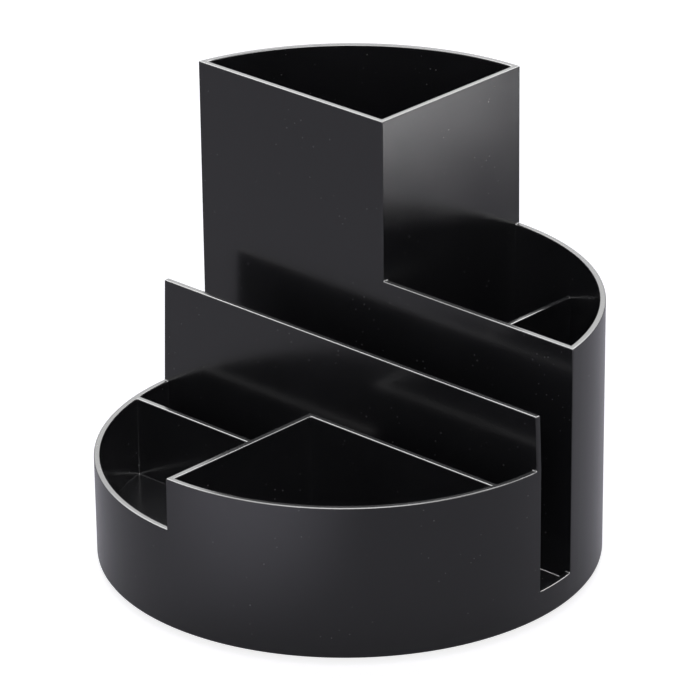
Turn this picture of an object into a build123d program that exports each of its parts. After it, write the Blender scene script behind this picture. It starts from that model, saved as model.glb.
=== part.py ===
"""Round rotating desk organizer in black moulded plastic.

The organizer is one moulding: a round wall that steps down from a tall pen cup at the back to
low trays at the front, with straight partitions and a note slot right across it. It turns on a
low ball turntable that is hidden in the recess under its floor.

Millimetres. Z is up and Z = 0 is the desk. X runs along the note slot and Y towards the pen cup.
The origin is on the axis that the organizer turns about.
"""

import os
from math import radians, tan

from build123d import *

# ---- Organizer: round wall and floor -------------------------------------------------------
body_radius = 70.0  # outside of the round wall at its bottom edge
wall_draft = 0.3  # degrees by which the round wall opens upwards
wall = 1.7  # round wall and every partition
floor_height = 6.1  # top of the floor above the bottom edge of the round wall
floor_thickness = 2.0
bottom_edge_radius = 1.0
edge_radius = 0.3  # every rim and every free upright edge

# ---- Organizer: rim heights above its bottom edge ------------------------------------------
low_rim_height = 29.4  # tray at the front left
front_rim_height = 44.6  # cup at the front and the wall to its right
panel_height = 60.4  # panel in front of the note slot
divider_height = 61.0  # divider inside the rear cup
rear_rim_height = 74.7  # cup at the rear right
tower_height = 121.6  # pen cup at the rear left
sill_height = 8.3  # lower edge of the two mouths of the note slot

# ---- Organizer: plan -----------------------------------------------------------------------
slot_front_y = 0.3  # rear face of the panel
slot_width = 13.9
tower_side_x = 0.4  # right face of the pen cup
front_cup_x = -0.8  # left face of the front cup
front_cup_y = -14.2  # rear face of the front cup
divider_x = 24.3  # middle of the divider in the rear cup
panel_end_draft = 2.0  # degrees by which the free ends of the panel lean in
panel_end_start = 0.8  # height above the rim at which they start to lean

# ---- Turntable -----------------------------------------------------------------------------
foot_radius = 6.5
foot_thickness = 1.5
foot_pocket_depth = 0.7
foot_fit = 0.1  # gap around a foot in its pocket
foot_edge = 0.3
foot_count = 6
foot_rim = 4.5  # base plate left outside the feet

base_rim_gap = 6.3  # between the base and the inside of the round wall
base_thickness = 2.0
base_edge_radius = 0.5
coring_depth = 0.7  # hollows in the underside of the base
coring_rib = 3.0
coring_wall = 2.5  # solid rim left around each ring of hollows

ball_radius = 2.0
ball_count = 12
track_radius = 40.0
track_depth = 0.6  # how far a ball sits below each of the two faces
ball_clearance = 0.15

cage_thickness = 1.4
cage_band = 6.0  # cage plate on each side of the ball circle
pocket_clearance = 0.15
cage_guide_clearance = 0.4
cage_guide_width = 1.6
cage_guide_gap = 0.7  # from the top of the guide to the floor above it

# ---- Pivot ---------------------------------------------------------------------------------
hub_radius = 6.0
hub_clearance = 0.15
bush_wall = 1.9
bush_flange_width = 2.0
bush_flange_thickness = 0.6
bush_end_gap = 0.1
boss_wall = 3.0
washer_radius = 9.0
washer_thickness = 0.6
washer_hole_clearance = 0.2
washer_recess_clearance = 0.5
pivot_end_play = 0.1
screw_radius = 1.5
screw_head_radius = 3.0
screw_head_thickness = 0.9
screw_head_gap = 0.4  # from the screw head to the desk
screw_point_cover = 0.6  # floor left above the screw
screw_point_gap = 0.4
screw_point_chamfer = 0.6
screw_head_edge = 0.3
cross_width = 0.8
cross_length = 3.2
cross_depth = 0.5

# ---- Heights above the desk, worked out from the stack that carries the organizer ----------
base_bottom_z = foot_thickness - foot_pocket_depth
base_top_z = base_bottom_z + base_thickness
floor_under_z = base_top_z + 2 * (ball_radius - track_depth)
ball_z = (base_top_z + floor_under_z) / 2
floor_top_z = floor_under_z + floor_thickness
body_bottom_z = floor_top_z - floor_height
body_top_z = body_bottom_z + tower_height
washer_bottom_z = screw_head_gap + screw_head_thickness
hub_end_z = washer_bottom_z + washer_thickness
recess_top_z = hub_end_z + pivot_end_play
boss_top_z = floor_under_z - bush_end_gap - bush_flange_thickness
screw_hole_top_z = floor_top_z - screw_point_cover

# ---- Radii and plan positions that follow --------------------------------------------------
base_radius = body_radius - wall - base_rim_gap
foot_circle_radius = base_radius - foot_rim - foot_radius
bush_radius = hub_radius + hub_clearance + bush_wall
boss_radius = bush_radius + boss_wall
cage_inner_radius = track_radius - cage_band
cage_guide_radius = cage_inner_radius - cage_guide_clearance
slot_rear_y = slot_front_y + slot_width
panel_front_y = slot_front_y - wall
low_rim_z = body_bottom_z + low_rim_height
front_rim_z = body_bottom_z + front_rim_height
panel_top_z = body_bottom_z + panel_height
divider_top_z = body_bottom_z + divider_height
rear_rim_z = body_bottom_z + rear_rim_height
sill_z = body_bottom_z + sill_height
hole_radius = hub_radius + hub_clearance
recess_radius = washer_radius + washer_recess_clearance
pocket_radius = ball_radius + pocket_clearance
groove_radius = ball_radius + ball_clearance
beyond = 2 * body_radius  # well outside the round wall
seam_angle = -60.0  # where the seams of the round faces lie, away from every partition

UP = (Align.CENTER, Align.CENTER, Align.MIN)


def wall_radius(z):
    """Outside radius of the round wall at a height above the desk."""
    return body_radius + (z - body_bottom_z) * tan(radians(wall_draft))


def round_solid(inset, bottom_z, top_z, mode=Mode.ADD):
    """A solid that stays the given distance inside the outer face of the round wall."""
    bottom, top = wall_radius(bottom_z) - inset, wall_radius(top_z) - inset
    with Locations((0, 0, bottom_z)):
        Cone(bottom, top, top_z - bottom_z, rotation=(0, 0, seam_angle), align=UP, mode=mode)


def disc(radius, bottom_z, top_z, mode=Mode.ADD):
    """A round plate about the axis of the turntable."""
    with Locations((0, 0, bottom_z)):
        Cylinder(radius, top_z - bottom_z, align=UP, mode=mode)


def box_between(x_range, y_range, z_range, mode=Mode.ADD):
    """A box between two limits on each axis."""
    limits = (x_range, y_range, z_range)
    with Locations(tuple((low + high) / 2 for low, high in limits)):
        Box(*(high - low for low, high in limits), mode=mode)


def ball_track(mode=Mode.SUBTRACT):
    """The groove that the balls run in, cut into the face above or below them."""
    with Locations((0, 0, ball_z)):
        Torus(track_radius, groove_radius, mode=mode)


def keep(piece, name):
    """Label a finished piece and write it out."""
    piece.label = name
    export_step(piece, f"parts/{name}.step")
    print(f"{name}: {piece.volume / 1000:.2f} cm3, valid {piece.is_valid}")


os.makedirs("parts", exist_ok=True)

# ---- Organizer body: plates that end inside the round wall, so that both are one moulding ---
everywhere = (-beyond, beyond)
to_the_rear = (slot_rear_y, beyond)
to_the_front = (-beyond, front_cup_y)
plates = [
    (everywhere, (slot_rear_y, slot_rear_y + wall), body_top_z),
    ((tower_side_x - wall, tower_side_x), to_the_rear, body_top_z),
    ((divider_x - wall / 2, divider_x + wall / 2), to_the_rear, divider_top_z),
    (everywhere, (panel_front_y, slot_front_y), panel_top_z),
    (everywhere, (front_cup_y - wall, front_cup_y), front_rim_z),
    ((front_cup_x, front_cup_x + wall), to_the_front, front_rim_z),
]
plate_bottom_z = floor_top_z - floor_thickness / 2

with BuildPart() as partitions:
    for x_range, y_range, top_z in plates:
        box_between(x_range, y_range, (plate_bottom_z, top_z))
    round_solid(wall / 2, plate_bottom_z, body_top_z, mode=Mode.INTERSECT)

# The free ends of the panel lean in, from just above the rim that each one stands on.
panel_end_cuts = []
for x_range, rim_z in (((0, beyond), front_rim_z), ((-beyond, 0), low_rim_z)):
    rise = panel_top_z + edge_radius - rim_z
    start_radius = wall_radius(rim_z + panel_end_start) + panel_end_start * tan(radians(panel_end_draft))
    end_radius = start_radius - rise * tan(radians(panel_end_draft))
    with BuildPart() as panel_end_cut:
        box_between(x_range, (panel_front_y, slot_front_y), (rim_z, rim_z + rise))
        with Locations((0, 0, rim_z)):
            Cone(start_radius, end_radius, rise, align=UP, mode=Mode.SUBTRACT)
    panel_end_cuts.append(panel_end_cut.part)

# What stands above each rim is cut away.
steps = [
    ((tower_side_x, beyond), to_the_rear, rear_rim_z),
    (everywhere, (panel_front_y, slot_rear_y), panel_top_z),
    (everywhere, (slot_front_y, slot_rear_y), sill_z),
    ((front_cup_x, beyond), (-beyond, panel_front_y), front_rim_z),
    ((-beyond, front_cup_x), (-beyond, panel_front_y), low_rim_z),
]

with BuildPart() as organizer_body:
    round_solid(0, body_bottom_z, body_top_z)
    fillet(organizer_body.edges().group_by(Axis.Z)[0], bottom_edge_radius)
    round_solid(wall, floor_top_z, body_top_z, mode=Mode.SUBTRACT)
    add(partitions.part)
    for x_range, y_range, rim_z in steps:
        box_between(x_range, y_range, (rim_z, body_top_z), mode=Mode.SUBTRACT)

    # Round every edge where the plastic turns outwards: the rims and the free upright edges.
    rims = organizer_body.faces().filter_by(Axis.Z).filter_by(lambda face: face.center().Z > floor_top_z + 1)
    flat_walls = organizer_body.faces().filter_by(Axis.X) + organizer_body.faces().filter_by(Axis.Y)
    uprights = flat_walls.edges().filter_by(lambda edge: abs(edge.tangent_at(0.5).Z) > 0.9)
    free_edges = (rims.edges() + uprights).filter_by(lambda edge: not edge.is_interior)
    fillet(free_edges, edge_radius)
    add(panel_end_cuts, mode=Mode.SUBTRACT)

    # The recess for the turntable, with the hub that turns in its bush and the upper ball track.
    round_solid(wall, body_bottom_z, floor_under_z, mode=Mode.SUBTRACT)
    disc(hub_radius, hub_end_z, floor_under_z)
    disc(screw_radius, hub_end_z, screw_hole_top_z, mode=Mode.SUBTRACT)
    ball_track()
keep(organizer_body.part, "organizer_body")

# ---- Base disc of the turntable ------------------------------------------------------------
coring_outer_radius = track_radius - ball_radius - coring_wall
coring_inner_radius = recess_radius + coring_wall

with BuildPart() as base_disc:
    disc(base_radius, base_bottom_z, base_top_z)
    fillet(base_disc.edges(), base_edge_radius)
    disc(boss_radius, base_top_z, boss_top_z)
    with BuildSketch(Plane.XY.offset(base_top_z)):
        Circle(cage_guide_radius)
        Circle(cage_guide_radius - cage_guide_width, mode=Mode.SUBTRACT)
    extrude(amount=floor_under_z - cage_guide_gap - base_top_z)
    ball_track()

    Hole(bush_radius)
    disc(recess_radius, base_bottom_z, recess_top_z, mode=Mode.SUBTRACT)
    with BuildSketch(Plane.XY.offset(base_bottom_z)):
        with PolarLocations(foot_circle_radius, foot_count):
            Circle(foot_radius + foot_fit)
    extrude(amount=foot_pocket_depth, mode=Mode.SUBTRACT)
    with BuildSketch(Plane.XY.offset(base_bottom_z)):
        Circle(coring_outer_radius)
        Circle(coring_inner_radius, mode=Mode.SUBTRACT)
        with PolarLocations(0, foot_count // 2, angular_range=180):
            Rectangle(2 * coring_outer_radius, coring_rib, mode=Mode.SUBTRACT)
    extrude(amount=coring_depth, mode=Mode.SUBTRACT)
keep(base_disc.part, "base_disc")

# ---- Rubber feet, glued into the pockets of the base ---------------------------------------
for number in range(foot_count):
    centre = Vector(foot_circle_radius, 0, 0).rotate(Axis.Z, number * 360 / foot_count)
    with BuildPart() as rubber_foot:
        with BuildSketch(Plane(centre)):
            Circle(foot_radius)
        extrude(amount=foot_thickness)
        chamfer(rubber_foot.edges().group_by(Axis.Z)[0], foot_edge)
    keep(rubber_foot.part, f"rubber_foot_{number + 1}")

# ---- Pivot bush, a flanged sleeve pressed into the base ------------------------------------
with BuildPart() as pivot_bush:
    disc(bush_radius, recess_top_z, boss_top_z)
    disc(bush_radius + bush_flange_width, boss_top_z, boss_top_z + bush_flange_thickness)
    Hole(hole_radius)
keep(pivot_bush.part, "pivot_bush")

# ---- Ball cage and balls -------------------------------------------------------------------
with BuildPart() as ball_cage:
    with BuildSketch(Plane.XY.offset(ball_z - cage_thickness / 2)):
        Circle(track_radius + cage_band)
        Circle(cage_inner_radius, mode=Mode.SUBTRACT)
        with PolarLocations(track_radius, ball_count):
            Circle(pocket_radius, mode=Mode.SUBTRACT)
    extrude(amount=cage_thickness)
keep(ball_cage.part, "ball_cage")

for number in range(ball_count):
    centre = Vector(track_radius, 0, ball_z).rotate(Axis.Z, number * 360 / ball_count)
    with BuildPart() as ball:
        with Locations(centre):
            Sphere(ball_radius)
    keep(ball.part, f"ball_{number + 1:02d}")

# ---- Washer and screw that hold the organizer down on its base ------------------------------
with BuildPart() as pivot_washer:
    disc(washer_radius, washer_bottom_z, hub_end_z)
    Hole(screw_radius + washer_hole_clearance)
keep(pivot_washer.part, "pivot_washer")

with BuildPart() as pivot_screw:
    disc(screw_head_radius, screw_head_gap, washer_bottom_z)
    fillet(pivot_screw.edges().group_by(Axis.Z)[0], screw_head_edge)
    disc(screw_radius, washer_bottom_z, screw_hole_top_z - screw_point_gap)
    chamfer(pivot_screw.edges().group_by(Axis.Z)[-1], screw_point_chamfer)
    with BuildSketch(Plane.XY.offset(screw_head_gap)):
        Rectangle(cross_length, cross_width)
        Rectangle(cross_width, cross_length)
    extrude(amount=cross_depth, mode=Mode.SUBTRACT)
keep(pivot_screw.part, "pivot_screw")
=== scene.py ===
"""Looks of the round rotating desk organizer, piece by piece as it is put together.

Metres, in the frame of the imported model: Z is up from the desk, X runs along the note slot and
Y towards the tall pen cup.
"""

from math import asin, atan, cos, hypot, pi, radians, sin, sqrt, tan

import bmesh
import bpy
from mathutils import Euler, Matrix, Vector


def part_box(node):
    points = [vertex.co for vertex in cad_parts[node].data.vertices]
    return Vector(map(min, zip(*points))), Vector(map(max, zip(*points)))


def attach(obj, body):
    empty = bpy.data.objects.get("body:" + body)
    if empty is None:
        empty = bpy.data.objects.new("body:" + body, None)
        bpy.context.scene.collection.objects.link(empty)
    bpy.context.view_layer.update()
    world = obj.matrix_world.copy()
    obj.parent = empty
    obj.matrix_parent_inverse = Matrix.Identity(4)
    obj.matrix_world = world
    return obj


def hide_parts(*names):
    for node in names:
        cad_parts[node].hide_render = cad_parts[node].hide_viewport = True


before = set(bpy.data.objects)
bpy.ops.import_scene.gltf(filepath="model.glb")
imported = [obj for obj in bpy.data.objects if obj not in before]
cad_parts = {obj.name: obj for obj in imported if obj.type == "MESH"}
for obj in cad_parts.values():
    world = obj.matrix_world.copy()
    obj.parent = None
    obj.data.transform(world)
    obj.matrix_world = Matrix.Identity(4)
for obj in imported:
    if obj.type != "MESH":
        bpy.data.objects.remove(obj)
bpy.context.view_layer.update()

# ---- Base disc -----------------------------------------------------------------------------
# A flat moulding in black ABS that stands still on the desk. Its mould is spark-eroded, which
# leaves an even, fine matt grain on the plastic.
MM = 0.001


def add_node(tree, kind, inputs=None, **settings):
    """Add a shader node, with its settings and with values or links for its inputs."""
    node = tree.nodes.new("ShaderNode" + kind)
    for name, value in settings.items():
        setattr(node, name, value)
    for socket, value in (inputs or {}).items():
        if isinstance(value, bpy.types.NodeSocket):
            tree.links.new(value, node.inputs[socket])
        else:
            node.inputs[socket].default_value = value
    return node


def new_finish(name, colour, **surface):
    """A material with an even colour and even values on its surface shader."""
    finish = bpy.data.materials.new(name)
    finish.use_nodes = True
    shader = finish.node_tree.nodes["Principled BSDF"]
    shader.inputs["Base Color"].default_value = (*colour, 1)
    for socket, value in surface.items():
        shader.inputs[socket.replace("_", " ")].default_value = value
    return finish


def noise(finish, lumps_per_metre, detail=2.0):
    """A noise pattern that stays put on the surface."""
    surface = add_node(finish.node_tree, "TexCoord").outputs["Object"]
    lumps = {"Vector": surface, "Scale": lumps_per_metre, "Detail": detail}
    return add_node(finish.node_tree, "TexNoise", lumps).outputs["Fac"]


def uneven(finish, socket, pattern, low, high):
    """Let a pattern vary a value of the surface shader, with its limits met at 0.3 and 0.7."""
    tree = finish.node_tree
    limits = {"Value": pattern, "From Min": 0.3, "From Max": 0.7, "To Min": low, "To Max": high}
    spread = add_node(tree, "MapRange", limits)
    tree.links.new(spread.outputs["Result"], tree.nodes["Principled BSDF"].inputs[socket])


def relief(finish, pattern, depth):
    """Let a pattern raise the surface by a depth in metres."""
    tree = finish.node_tree
    bump = add_node(tree, "Bump", {"Height": pattern, "Distance": depth})
    tree.links.new(bump.outputs["Normal"], tree.nodes["Principled BSDF"].inputs["Normal"])


def two_tone(finish, pattern, dark, light):
    """Let a pattern vary the colour between two close tones, which are met at 0.35 and 0.65."""
    tree = finish.node_tree
    tones = add_node(tree, "ValToRGB")
    tree.links.new(pattern, tones.inputs["Fac"])
    for stop, place, colour in zip(tones.color_ramp.elements, (0.35, 0.65), (dark, light)):
        stop.position = place
        stop.color = (*colour, 1)
    tree.links.new(tones.outputs["Color"], tree.nodes["Principled BSDF"].inputs["Base Color"])


def dress(node_name, finish):
    """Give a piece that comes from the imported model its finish."""
    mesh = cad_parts[node_name].data
    mesh.materials.clear()
    mesh.materials.append(finish)


matt_abs = new_finish("matt_black_abs", (0.014, 0.014, 0.015), IOR=1.53)
uneven(matt_abs, "Roughness", noise(matt_abs, 250), low=0.45, high=0.58)
relief(matt_abs, noise(matt_abs, 3500, detail=3), depth=0.02 * MM)
dress("base_disc", matt_abs)

# ---- Rubber feet ---------------------------------------------------------------------------
# Six die-cut discs of dark grey rubber, glued into pockets in the underside of the base. The
# sheet that they come from has a dull, slightly cloudy face.
sheet_rubber = new_finish("dark_sheet_rubber", (0.03, 0.03, 0.031), IOR=1.5)
clouds = noise(sheet_rubber, 500, detail=4)
two_tone(sheet_rubber, clouds, dark=(0.024, 0.024, 0.025), light=(0.042, 0.041, 0.041))
uneven(sheet_rubber, "Roughness", noise(sheet_rubber, 900), low=0.72, high=0.9)
relief(sheet_rubber, noise(sheet_rubber, 2500, detail=4), depth=0.04 * MM)
for number in range(1, 7):
    dress(f"rubber_foot_{number}", sheet_rubber)

# ---- Pivot bush and ball cage --------------------------------------------------------------
# The bush that is pressed into the base and the flat ring that spaces the balls are moulded in
# natural nylon, which is milky white and a little waxy.
nylon = new_finish("natural_nylon", (0.70, 0.67, 0.58), IOR=1.53)
two_tone(nylon, noise(nylon, 120, detail=3), dark=(0.66, 0.63, 0.54), light=(0.74, 0.71, 0.63))
uneven(nylon, "Roughness", noise(nylon, 400), low=0.32, high=0.42)
for node_name in ("pivot_bush", "ball_cage"):
    dress(node_name, nylon)

# ---- Balls ---------------------------------------------------------------------------------
# Twelve ground and polished steel balls that carry the organizer on a circular track. Rolling
# has left faint marks in their polish.
ball_steel = new_finish("polished_ball_steel", (0.58, 0.57, 0.55), Metallic=1.0)
uneven(ball_steel, "Roughness", noise(ball_steel, 1800, detail=5), low=0.07, high=0.16)
for number in range(1, 13):
    dress(f"ball_{number:02d}", ball_steel)

# ---- Organizer body: shape -----------------------------------------------------------------
# One injection moulding in black polystyrene: a round wall, a floor and straight partitions,
# with rims that step down from the pen cup at the rear left to the tray at the front left.
# It is pulled up from the plan of its floor, one rim height after the other.
body_low, body_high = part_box("organizer_body")
round_segments = 288
bottom_radius = 70.0 * MM
wall = 1.7 * MM
draft = tan(radians(0.3))
bottom_z = body_low.z
floor_under_z = bottom_z + 4.1 * MM
floor_z = bottom_z + 6.1 * MM
sill_z = bottom_z + 8.3 * MM
low_rim_z = bottom_z + 29.4 * MM
front_rim_z = bottom_z + 44.6 * MM
panel_z = bottom_z + 60.4 * MM
divider_z = bottom_z + 61.0 * MM
rear_rim_z = bottom_z + 74.7 * MM
tower_z = body_high.z
slot_front_y = 0.3 * MM
slot_rear_y = 14.2 * MM
front_cup_y = -14.2 * MM
tower_side_x = 0.4 * MM
front_cup_x = -0.8 * MM
divider_x = 24.3 * MM

# How far a corner may lie from a ring, a level, a face or a line of the plan and still count as on it.
ring_slack = 0.02 * MM
level_slack = 0.01 * MM
face_slack = 0.001 * MM
line_slack = 0.0001 * MM


def rim_height(x, y):
    """Height of what stands over a point of the plan: the round wall, a partition or the floor."""
    on_round_wall = hypot(x, y) > bottom_radius - wall + ring_slack
    if y > slot_rear_y:
        on_wall = on_round_wall or y < slot_rear_y + wall
        if x < tower_side_x:
            return tower_z if on_wall or x > tower_side_x - wall else floor_z
        if on_wall:
            return rear_rim_z
        return divider_z if abs(x - divider_x) < wall / 2 else floor_z
    if y > slot_front_y:
        return sill_z if on_round_wall else floor_z
    if y > slot_front_y - wall:
        return panel_z
    if on_round_wall or front_cup_y - wall < y < front_cup_y:
        return front_rim_z if x > front_cup_x else low_rim_z
    on_cup_side = y < front_cup_y and front_cup_x < x < front_cup_x + wall
    return front_rim_z if on_cup_side else floor_z


body_mesh = bmesh.new()


def extrude(faces, keep=False):
    """Extrude a region of the body's faces and give the corners and the faces of its new end."""
    made = bmesh.ops.extrude_face_region(body_mesh, geom=faces)["geom"]
    if not keep:
        bmesh.ops.delete(body_mesh, geom=faces, context="FACES")
    corners = [item for item in made if isinstance(item, bmesh.types.BMVert)]
    return corners, [item for item in made if isinstance(item, bmesh.types.BMFace)]


def pull_faces(faces, z, keep=False):
    """Pull a region of faces up or down to a height and give its new faces."""
    corners, pulled = extrude(faces, keep)
    for vert in corners:
        vert.co.z = z
    return pulled


def lathe_step(faces, radius, z):
    """Carry a round face on to another radius and height, as the next step of a turned profile."""
    corners, carried = extrude(faces)
    for vert in corners:
        outwards = vert.co.xy.normalized() * radius
        vert.co = (outwards.x, outwards.y, z)
    return carried


def looks_up(face):
    """Tell whether a face looks upwards."""
    return face.normal.z > 0.5


bmesh.ops.create_circle(body_mesh, cap_ends=True, segments=round_segments, radius=bottom_radius)
bmesh.ops.translate(body_mesh, verts=body_mesh.verts, vec=(0, 0, bottom_z))
plan = pull_faces(body_mesh.faces[:], floor_z, keep=True)
bmesh.ops.inset_region(body_mesh, faces=plan, thickness=wall, use_even_offset=True)

# The edges of every partition are cut into the plan, each only where its partition runs. A line
# along Y has its x, the y that it starts at and the side of that to which it runs.
rear_compartments = slot_rear_y + wall
front_compartments = front_cup_y - wall
across_lines = [
    slot_rear_y + wall, slot_rear_y, slot_front_y, slot_front_y - wall, front_cup_y, front_cup_y - wall,
]
along_lines = [
    (tower_side_x, slot_rear_y, 1), (tower_side_x - wall, rear_compartments, 1),
    (divider_x - wall / 2, rear_compartments, 1), (divider_x + wall / 2, rear_compartments, 1),
    (front_cup_x, slot_front_y - wall, -1), (front_cup_x + wall, front_compartments, -1),
]
along_places = [x for x, start_y, side in along_lines]


def cut_plan(point, normal, reaches):
    """Cut one straight line into the faces of the plan whose middle lies where the line reaches."""
    faces = [f for f in body_mesh.faces if looks_up(f) and reaches(f.calc_center_median())]
    parts = dict.fromkeys(faces)
    for face in faces:
        parts.update(dict.fromkeys([*face.edges, *face.verts]))
    bmesh.ops.bisect_plane(
        body_mesh, geom=list(parts), dist=face_slack, plane_co=point, plane_no=normal
    )


for y in across_lines:
    cut_plan((0, y, 0), (0, 1, 0), lambda centre: True)
for x, start_y, side in along_lines:
    cut_plan((x, 0, 0), (1, 0, 0), lambda centre: (centre.y - start_y) * side > 0)


def on_line(place, lines):
    """Tell whether a coordinate lies on one of the lines that are cut into the plan."""
    return min(abs(place - line) for line in lines) < line_slack


# Corners of the round wall that fall too near a partition are drawn onto it, to leave room for the
# rounded edges.
corner_room = 0.8 * MM
for ring_radius in (bottom_radius, bottom_radius - wall):
    ring = [
        v for v in body_mesh.verts
        if v.co.z > floor_z - level_slack and abs(v.co.xy.length - ring_radius) < ring_slack
    ]
    on_partition = [v for v in ring if on_line(v.co.y, across_lines) or on_line(v.co.x, along_places)]
    close_corners = bmesh.ops.find_doubles(
        body_mesh, verts=ring, keep_verts=on_partition, dist=corner_room
    )
    bmesh.ops.weld_verts(body_mesh, targetmap=close_corners["targetmap"])


def plan_height(face):
    """Height of what stands over a face of the plan."""
    centre = face.calc_center_median()
    return rim_height(centre.x, centre.y)


standing = [f for f in body_mesh.faces if looks_up(f) and plan_height(f) > floor_z]
for height in sorted({plan_height(f) for f in standing}):
    standing = [f for f in standing if plan_height(f) >= height]
    standing = pull_faces(standing, height)

# The round wall opens upwards, and the free ends of the panel lean in above the rims beside them.
panel_end_draft = tan(radians(2.0))
panel_end_start = 0.8 * MM
for vert in body_mesh.verts:
    radius = vert.co.xy.length
    if radius < bottom_radius - wall - ring_slack:
        continue
    x, y, z = vert.co
    grown = radius + (z - bottom_z) * draft
    on_panel = slot_front_y - wall - level_slack < y < slot_front_y + level_slack
    if on_panel and radius > bottom_radius - wall / 2:
        lean_z = (front_rim_z if x > 0 else low_rim_z) + panel_end_start
        grown -= max(0.0, z - lean_z) * (panel_end_draft + draft)
    if on_line(y, across_lines):
        vert.co.x = sqrt(grown**2 - y**2) * (1 if x > 0 else -1)
    elif on_line(x, along_places):
        vert.co.y = sqrt(grown**2 - x**2) * (1 if y > 0 else -1)
    else:
        vert.co.xy *= grown / radius

# Neighbouring faces that lie in one plane are joined, so that the rounding meets no needless edges.
# The list of edges keeps its order, which gives the same mesh on each run up to this step.
flat_angle = radians(0.12)
body_mesh.normal_update()
flat_edges = [e for e in body_mesh.edges if e.calc_face_angle(pi) < flat_angle]
bmesh.ops.dissolve_edges(body_mesh, edges=flat_edges, use_verts=True)

# The recess under the floor, the upper track of the balls and the hub with its screw hole.
ball_z = 4.2 * MM
track_radius = 40.0 * MM
groove_radius = 2.15 * MM
groove_steps = 8
hub_radius = 6.0 * MM
hub_end_z = 1.9 * MM
screw_radius = 1.5 * MM
screw_hole_top_z = 7.0 * MM
groove_half_width = sqrt(groove_radius**2 - (floor_under_z - ball_z) ** 2)
groove_half_angle = asin(groove_half_width / groove_radius)
recess = [
    f for f in body_mesh.faces
    if f.normal.z < -0.5 and abs(f.calc_center_median().z - bottom_z) < face_slack
]
recess = lathe_step(recess, bottom_radius - wall, bottom_z)
recess = lathe_step(recess, bottom_radius - wall, floor_under_z)
for step in range(groove_steps + 1):
    angle = groove_half_angle * (1 - 2 * step / groove_steps)
    groove_point = (track_radius + groove_radius * sin(angle), ball_z + groove_radius * cos(angle))
    recess = lathe_step(recess, *groove_point)
hub_profile = (
    (hub_radius, floor_under_z), (hub_radius, hub_end_z),
    (screw_radius, hub_end_z), (screw_radius, screw_hole_top_z),
)
for radius, z in hub_profile:
    recess = lathe_step(recess, radius, z)

# Small radii on every rim and in every corner above the floor, as the polished mould leaves them.
edge_radius = 0.35 * MM
bottom_edge_radius = 1.0 * MM
sharp = radians(30)


def on_bottom_edge(vert):
    """Tell whether a corner lies on the outer bottom edge of the round wall."""
    return abs(vert.co.z - bottom_z) < face_slack and vert.co.xy.length > bottom_radius - wall / 2


def above_floor(vert):
    """Tell whether a corner lies on top of the floor or above it."""
    return vert.co.z > floor_z - level_slack


def round_edges(belongs, radius, segments):
    """Round the sharp edges of the body with both ends where they belong."""
    body_mesh.normal_update()
    edges = [
        e for e in body_mesh.edges
        if e.calc_face_angle(0) > sharp and all(belongs(v) for v in e.verts)
    ]
    bmesh.ops.bevel(
        body_mesh, geom=edges, offset=radius, offset_type="OFFSET", segments=segments, profile=0.5,
        affect="EDGES", material=-1,
    )


round_edges(on_bottom_edge, bottom_edge_radius, segments=4)
round_edges(above_floor, edge_radius, segments=3)
bmesh.ops.recalc_face_normals(body_mesh, faces=body_mesh.faces)
for face in body_mesh.faces:
    face.smooth = True


def place_object(name, data):
    """Put a new object into the scene."""
    placed = bpy.data.objects.new(name, data)
    bpy.context.scene.collection.objects.link(placed)
    return placed


body_data = bpy.data.meshes.new("organizer_shell")
body_mesh.to_mesh(body_data)
body_mesh.free()
organizer_shell = place_object("organizer_shell", body_data)
weighted = organizer_shell.modifiers.new("even_normals", "WEIGHTED_NORMAL")
weighted.weight = 100
weighted.keep_sharp = False

# ---- Organizer body: finish ----------------------------------------------------------------
# Black polystyrene out of a polished mould: glossy but slightly soft in its reflections, with
# very shallow waves in the large faces and a few specks of dust that its static charge holds.
styrene_black = (0.016, 0.016, 0.018)
styrene = new_finish("black_polystyrene", styrene_black, IOR=1.59)
uneven(styrene, "Roughness", noise(styrene, 45, detail=3), low=0.17, high=0.22)
relief(styrene, noise(styrene, 22, detail=1), depth=0.015 * MM)

dust_spacing = 2.3 * MM
speck_radius = 0.22 * MM
dust_grey = (0.16, 0.16, 0.165)
tree = styrene.node_tree
surface = add_node(tree, "TexCoord").outputs["Object"]
specks = add_node(tree, "TexVoronoi", {"Vector": surface, "Scale": 1 / dust_spacing})
cloudiness = {"Value": noise(styrene, 60), "From Min": 0.36, "From Max": 0.66}
largest_speck = {"To Max": speck_radius / dust_spacing}
speck_reach = add_node(tree, "MapRange", cloudiness | largest_speck).outputs["Result"]
dusty = add_node(
    tree, "Math", {0: specks.outputs["Distance"], 1: speck_reach}, operation="LESS_THAN"
).outputs["Value"]
dusted = add_node(
    tree, "Mix", {"Factor": dusty, "A": (*styrene_black, 1), "B": (*dust_grey, 1)}, data_type="RGBA"
)
tree.links.new(dusted.outputs["Result"], tree.nodes["Principled BSDF"].inputs["Base Color"])
organizer_shell.data.materials.append(styrene)
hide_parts("organizer_body")
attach(organizer_shell, "organizer")

# ---- Pivot washer and screw ----------------------------------------------------------------
# A zinc-plated washer and pan-head screw hold the organizer down on its base. Barrel plating
# leaves them bright, with faint cloudy patches.
zinc_plate = new_finish("bright_zinc_plate", (0.62, 0.63, 0.66), Metallic=1.0)
clouds = noise(zinc_plate, 600, detail=4)
two_tone(zinc_plate, clouds, dark=(0.52, 0.53, 0.57), light=(0.66, 0.67, 0.69))
uneven(zinc_plate, "Roughness", noise(zinc_plate, 1500, detail=4), low=0.2, high=0.36)
for node_name in ("pivot_washer", "pivot_screw"):
    dress(node_name, zinc_plate)

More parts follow.
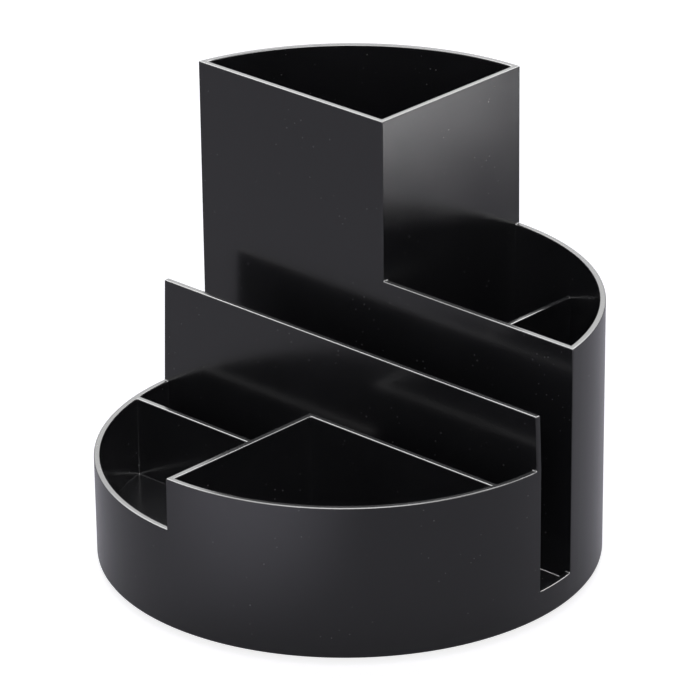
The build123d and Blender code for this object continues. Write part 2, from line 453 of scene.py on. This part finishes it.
# ---- Floor, light and camera ---------------------------------------------------------------
# A sheet of pale paper under a softbox and a light tent that shows in everything glossy. Two
# spots lay soft pools of light on the paper, which is white to the camera and keeps the shadow.
paper_shade = 0.44
paper_glow = 0.85
reflected_glow = 0.12
floor_half_side = 6.0
floor_mesh = bmesh.new()
bmesh.ops.create_grid(floor_mesh, x_segments=1, y_segments=1, size=floor_half_side)
floor_data = bpy.data.meshes.new("floor")
floor_mesh.to_mesh(floor_data)
floor_mesh.free()
floor = place_object("floor", floor_data)
paper_colour = (paper_shade * 1.02, paper_shade, paper_shade * 1.15)
paper = new_finish("floor_paper", paper_colour, Roughness=0.9, Specular_IOR_Level=0.0)
tree = paper.node_tree
ray = add_node(tree, "LightPath")
mirrors = {0: ray.outputs["Is Glossy Ray"], 1: ray.outputs["Is Transmission Ray"]}
in_mirrors = add_node(tree, "Math", mirrors, operation="MAXIMUM").outputs["Value"]
faint_glow = add_node(tree, "Math", {0: in_mirrors, 1: reflected_glow}, operation="MULTIPLY")
glow = add_node(
    tree, "Math", {0: ray.outputs["Is Camera Ray"], 1: paper_glow, 2: faint_glow.outputs["Value"]},
    operation="MULTIPLY_ADD",
)
tree.nodes["Principled BSDF"].inputs["Emission Color"].default_value = (1, 1, 1, 1)
tree.links.new(glow.outputs["Value"], tree.nodes["Principled BSDF"].inputs["Emission Strength"])
floor_data.materials.append(paper)

# The world is plain white to the camera, an even dim light to matt surfaces, and a tent with three
# bright panels in reflections. Its ramp and panels hold brightness as a share of tent_scale.
room_light = 0.28
tent_scale = 10.0
panel_core = 0.4
world = bpy.data.worlds.new("studio")
bpy.context.scene.world = world
world.use_nodes = True
tree = world.node_tree
tree.nodes["Background"].inputs["Color"].default_value = (1, 1, 1, 1)
direction = add_node(tree, "TexCoord").outputs["Generated"]
upwards = add_node(tree, "SeparateXYZ", {"Vector": direction}).outputs["Z"]
tent_wall = add_node(tree, "ValToRGB", {"Fac": upwards})
tent_stops = tent_wall.color_ramp.elements
tent_stops[0].position = 0.15
tent_stops[1].position = 0.90
for place in (0.42, 0.62):
    tent_stops.new(place)
for stop, brightness in zip(tent_stops, (1.0, 3.7, 2.7, 1.7)):
    stop.color = [brightness / tent_scale] * 3 + [1]


def way_to(azimuth, elevation):
    """Direction to a place in the sky; its azimuth turns from +Y towards -X, both in degrees."""
    return Euler((radians(elevation), 0, radians(azimuth))).to_matrix() @ Vector((0, 1, 0))


def tent_panel(azimuth, elevation, reach, brightness):
    """A bright panel of the tent that fades out from its core to its reach, in degrees."""
    lean = {0: direction, 1: way_to(azimuth, elevation)}
    towards = add_node(tree, "VectorMath", lean, operation="DOT_PRODUCT").outputs["Value"]
    fade = {"From Min": cos(radians(reach)), "From Max": cos(radians(panel_core * reach))}
    panel = {"Value": towards, "To Max": brightness / tent_scale}
    return add_node(tree, "MapRange", fade | panel).outputs["Result"]


tent_panels = (
    tent_panel(azimuth=92, elevation=50, reach=27, brightness=13.0),
    tent_panel(azimuth=-4, elevation=46, reach=25, brightness=13.0),
    tent_panel(azimuth=-137, elevation=52, reach=45, brightness=12.0),
)
tent_shade = tent_wall.outputs["Color"]
for panel in tent_panels:
    tent_shade = add_node(tree, "Math", {0: tent_shade, 1: panel}, operation="ADD").outputs["Value"]
tent = add_node(tree, "Math", {0: tent_shade, 1: tent_scale}, operation="MULTIPLY").outputs["Value"]
ray = add_node(tree, "LightPath")
mirrored = add_node(
    tree, "Mix", {"Factor": ray.outputs["Is Glossy Ray"], "A": room_light, "B": tent}, data_type="FLOAT"
)
straight = {0: ray.outputs["Is Camera Ray"], 1: ray.outputs["Is Transmission Ray"]}
seen = add_node(tree, "Math", straight, operation="MAXIMUM").outputs["Value"]
strength = add_node(tree, "Math", {0: mirrored.outputs["Result"], 1: seen}, operation="MAXIMUM")
tree.links.new(strength.outputs["Value"], tree.nodes["Background"].inputs["Strength"])


def softbox(name, azimuth, elevation, distance, width, height, brightness):
    """A rectangular lamp that faces the organizer from a distance in metres."""
    lamp = bpy.data.lights.new(name, "AREA")
    lamp.shape = "RECTANGLE"
    lamp.size = width
    lamp.size_y = height
    lamp.energy = brightness * pi * width * height
    holder = place_object(name, lamp)
    along = way_to(azimuth, elevation)
    holder.location = along * distance
    holder.rotation_euler = (-along).to_track_quat("-Z", "Y").to_euler()


def floor_pool(name, place, aim, radius, brightness, colour=(1, 1, 1)):
    """A spot lamp that lays a soft pool of light on the paper beside the organizer."""
    lamp = bpy.data.lights.new(name, "SPOT")
    beam = Vector(aim) - Vector(place)
    lamp.spot_size = 2 * atan(radius / beam.length)
    lamp.spot_blend = 1.0
    lamp.energy = brightness / paper_shade * 4 * pi**2 * beam.length**3 / abs(beam.z)
    lamp.color = colour
    lamp.shadow_soft_size = 0.02
    holder = place_object(name, lamp)
    holder.location = place
    holder.rotation_euler = beam.to_track_quat("-Z", "Y").to_euler()


softbox("softbox_key", azimuth=45, elevation=60, distance=1.1, width=1.0, height=1.0, brightness=1.9)
floor_pool(
    "pool_rear", place=(0.43, 0.40, 0.9), aim=(0.288, 0.251, 0), radius=0.118, brightness=4.6,
    colour=(0.99, 1.0, 0.88),
)
floor_pool("pool_front", place=(0.03, -0.30, 1.2), aim=(0.03, -0.23, 0), radius=0.155, brightness=0.66)

camera = bpy.data.cameras.new("camera")
camera.sensor_width = 36.0
camera.lens = 281.87
camera_place = Vector((0.93753, -0.99523, 0.669815))
camera_azimuth = 43.262
camera_elevation = 24.027
camera_roll = -0.634
camera_object = place_object("camera", camera)
facing = Euler((radians(90 - camera_elevation), 0, radians(camera_azimuth))).to_matrix().to_4x4()
camera_object.matrix_world = (
    Matrix.Translation(camera_place) @ facing @ Matrix.Rotation(radians(camera_roll), 4, "Z")
)
bpy.context.scene.camera = camera_object
bpy.context.scene.view_settings.view_transform = "Standard"
